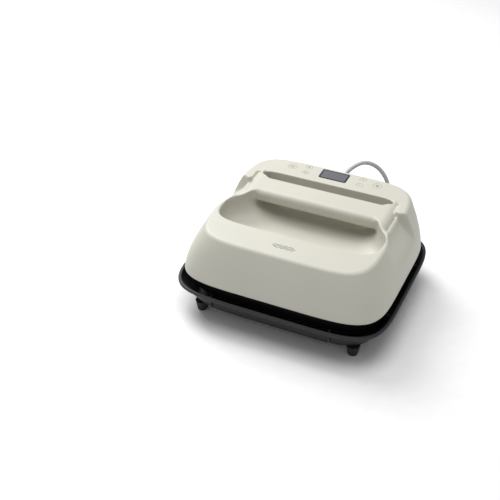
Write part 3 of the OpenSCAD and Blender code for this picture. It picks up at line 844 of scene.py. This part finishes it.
def button_centre(name):
    low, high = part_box(name)
    x = (low[0] + high[0]) / 2 / MM
    near = [MAIN_X, SMALL_X][abs(abs(x) - SMALL_X) < abs(abs(x) - MAIN_X)]
    y = (low[1] + high[1]) / 2 / MM
    flat = min((PANEL_Y,) if near == MAIN_X else SMALL_Y, key=lambda v: abs(v - y))
    return math.copysign(near, x), flat, MAIN_R if near == MAIN_X else SMALL_R


for button, strokes in ICONS.items():
    bx, by, br = button_centre(button)
    dish = [(br - 0.1, -7.4), (br, -7.2), (br, -0.55), (br - 0.12, -0.22), (br - 0.4, -0.04), (br - 0.8, 0.0)]
    dish += [(br * 0.75, -0.05), (br * 0.5, -0.14), (br * 0.25, -0.19), (0.4, -0.2)]
    cap = deck_lathe(button + "_top", bx, by, dish)
    piece(cap, button + "_cap", "button_plastic", (button,))
    icon = stroke_mesh(button + "_mark", strokes, bx, by, -0.13)
    icon.data.materials.append(INK)
    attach(icon, button + "_cap")


def deck_plate(name, cx, cy, profile, per=10):
    """A rounded rectangle with a worked edge: profile gives (half width, half depth, corner, up)."""
    rings = []
    for hw, hd, r, up in profile:
        ring = []
        for corner, (sx, sy) in enumerate(((1, 1), (-1, 1), (-1, -1), (1, -1))):
            for k in range(per + 1):
                a = math.radians(90 * corner + 90 * k / per)
                x = cx + sx * (hw - r) + r * math.cos(a)
                y = cy + sy * (hd - r) + r * math.sin(a)
                ring.append(on_deck(x, y, up))
        rings.append(ring)
    obj = loft(name, rings)
    keep_sharp(obj, 40)
    return obj


window_edge = [
    (22.0, 11.0, 2.0, -2.55), (24.3, 13.3, 2.9, -2.2), (24.5, 13.5, 3.0, -2.0), (24.5, 13.5, 3.0, -0.5),
    (24.35, 13.35, 2.9, -0.22), (24.0, 13.0, 2.6, -0.1),
]
piece(deck_plate("display_glass", 0, PANEL_Y, window_edge), "press", "window", ("display_window",))
screen = deck_plate(
    "display_screen", 0, PANEL_Y,
    [(21.6, 10.6, 1.6, -0.3), (21.6, 10.6, 1.6, -0.075), (21.5, 10.5, 1.5, -0.06)],
)
screen.data.materials.append(DISPLAY_AREA)
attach(screen, "press")

marks = []
for row in (-3.2, 0.0, 3.2):
    reach = 19.5 - 0.8 * abs(row)
    line = [(reach * (k / 30 - 1), row + 0.9 * math.sin(math.pi * k / 7.5)) for k in range(61)]
    marks.append((line, 0.95, False))
emblem = stroke_mesh("heat_mark", marks, 0.0, -92.0, 0.02)
emblem.data.materials.append(INK)
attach(emblem, "press")

# ---- black skirt round the plate ----


def profile_rings(profile, power):
    """Rounded-square rings from (width, depth, height), listed along the wall's section."""
    return [superellipse(w, d, power, z, 320) for w, d, z in profile]


def make_skirt():
    profile = [(306, 255, 44.0), (309.4, 258.4, 44.0), (313.0, 262.0, 44.2), (314.4, 263.4, 45.0)]
    for k in range(1, 9):
        u = k / 8
        profile.append((314.4 + 21.2 * u, 263.4 + 18.4 * u, 45 + 30.4 * u))
    # over the top edge and down the inside to the ledge
    profile += [(335.2, 281.4, 76.0), (331.4, 277.6, 76.0), (330.8, 276.8, 75.4), (322.6, 269.2, 62.9)]
    # round the ledge that the housing's posts stand on
    profile += [(321.8, 268.6, 62.5), (301, 251, 62.5), (300, 250, 62.2), (300, 250, 60.3), (301, 251, 60.0)]
    profile += [(320.0, 267.0, 60.0), (309.6, 258.6, 45.4)]
    obj = loft("skirt", profile_rings(profile, OUTLINE_POWER), False, False)
    keep_sharp(obj, 40)
    return obj


piece(make_skirt(), "press", "black_plastic", ("lower_skirt",))

# ---- safety base ----

RIM_POWER = 5.65


def make_tray():
    profile = [(298, 251, 18.0), (309, 262, 18.2), (312.6, 265.6, 19.0), (314.8, 267.8, 21.0)]
    for k in range(1, 7):
        u = k / 6
        profile.append((314.8 + 38.8 * u, 267.8 + 40.0 * u, 21 + 31.2 * u))
    # under the rim, round its edge and across its top
    profile += [(354.6, 308.8, 52.8), (356.4, 310.4, 53.0), (358.6, 312.6, 53.2), (359.6, 313.6, 53.8)]
    profile += [(360, 314, 54.8), (360, 314, 56.4), (359.7, 313.7, 57.2), (359.0, 313.0, 57.8)]
    profile += [(358.0, 312.0, 58.0), (352.6, 306.6, 58.0), (351.2, 305.2, 57.8), (350.4, 304.4, 57.2)]
    profile += [(350.0, 304.0, 56.2)]
    for k in range(1, 7):
        u = k / 6
        profile.append((350 - 40.6 * u, 304 - 41.6 * u, 56.2 - 33.6 * u))
    profile += [(308.2, 261.4, 21.2), (305.6, 258.8, 20.3), (298, 251, 20.0)]
    obj = loft("tray_shell", profile_rings(profile, RIM_POWER))
    keep_sharp(obj, 50)
    return obj


def upright_lathe(name, cx, cy, profile, count=64):
    return loft(name, [[(x, y, z) for x, y in circle(cx, cy, r, count)] for r, z in profile])


def soft_box(name, low, high, width):
    """A block with its edges rounded by a bevel."""
    (x0, y0, z0), (x1, y1, z1) = low, high
    corners = [(x, y, z) for z in (z0, z1) for x, y in ((x0, y0), (x1, y0), (x1, y1), (x0, y1))]
    faces = [(3, 2, 1, 0), (4, 5, 6, 7), (0, 1, 5, 4), (1, 2, 6, 5), (2, 3, 7, 6), (3, 0, 4, 7)]
    obj = mesh_object(name, corners, faces)
    edge = obj.modifiers.new("edge", "BEVEL")
    edge.width = width * MM
    edge.segments = 3
    edge.harden_normals = True
    return obj


piece(make_tray(), "base", "black_plastic", ("base_tray",))
for number, (px, py) in enumerate(((-105, -85), (105, -85), (105, 85), (-105, 85))):
    post = upright_lathe(
        "tray_post_%d" % number, px, py,
        [(14.6, 19.8), (13.8, 20.3), (13.1, 21.6), (11.5, 31.2), (11.0, 32.2), (10.2, 32.65), (8, 32.7)],
    )
    keep_sharp(post, 50)
    piece(post, "base", "black_plastic")
for side in (-1, 1):
    for place in (-70, 70):
        x_in, x_out = sorted((side * 163.2, side * 171.5))
        piece(
            soft_box("rib_x_%s_%s" % ("l" if side < 0 else "r", "f" if place < 0 else "b"),
                     (x_in, place - 1.5, 34), (x_out, place + 1.5, 54.6), 0.8),
            "base", "black_plastic",
        )
    for place in (-100, 100):
        y_in, y_out = sorted((side * 140.2, side * 148.5))
        piece(
            soft_box("rib_y_%s_%s" % ("f" if side < 0 else "b", "l" if place < 0 else "r"),
                     (place - 1.5, y_in, 34), (place + 1.5, y_out, 54.6), 0.8),
            "base", "black_plastic",
        )

# ---- floor and light ----


def make_floor():
    half = 2600
    corners = [(-half, -half, 0), (half, -half, 0), (half, half, 0), (-half, half, 0)]
    floor = mesh_object("floor", corners, [(0, 1, 2, 3)], False)
    material, tree, shader = nodes_of("floor_paper")
    grain = noise(tree, 60.0, 3.0)
    paper = ramp(tree, grain.outputs["Fac"], (0.93, 0.93, 0.93), (0.95, 0.95, 0.95))
    tree.links.new(paper, shader.inputs["Base Color"])
    shader.inputs["Roughness"].default_value = 0.9
    floor.data.materials.append(material)


def area_light(name, place, target, size, power):
    data = bpy.data.lights.new(name, "AREA")
    data.shape = "DISK"
    data.size = size
    data.energy = power
    lamp = bpy.data.objects.new(name, data)
    bpy.context.collection.objects.link(lamp)
    lamp.location = place
    lamp.rotation_euler = (Vector(target) - Vector(place)).to_track_quat("-Z", "Y").to_euler()


make_floor()
world = bpy.data.worlds.new("studio")
world.use_nodes = True
world.node_tree.nodes["Background"].inputs["Color"].default_value = (1.0, 1.0, 1.0, 1)
world.node_tree.nodes["Background"].inputs["Strength"].default_value = 0.36
bpy.context.scene.world = world
bpy.context.scene.view_settings.view_transform = "Standard"
area_light("key", (-1.2, 0.75, 1.6), (0, 0, 0.1), 1.2, 32)
area_light("top", (0.0, 0.0, 2.2), (0, 0, 0.1), 1.8, 24)

bpy.context.view_layer.update()
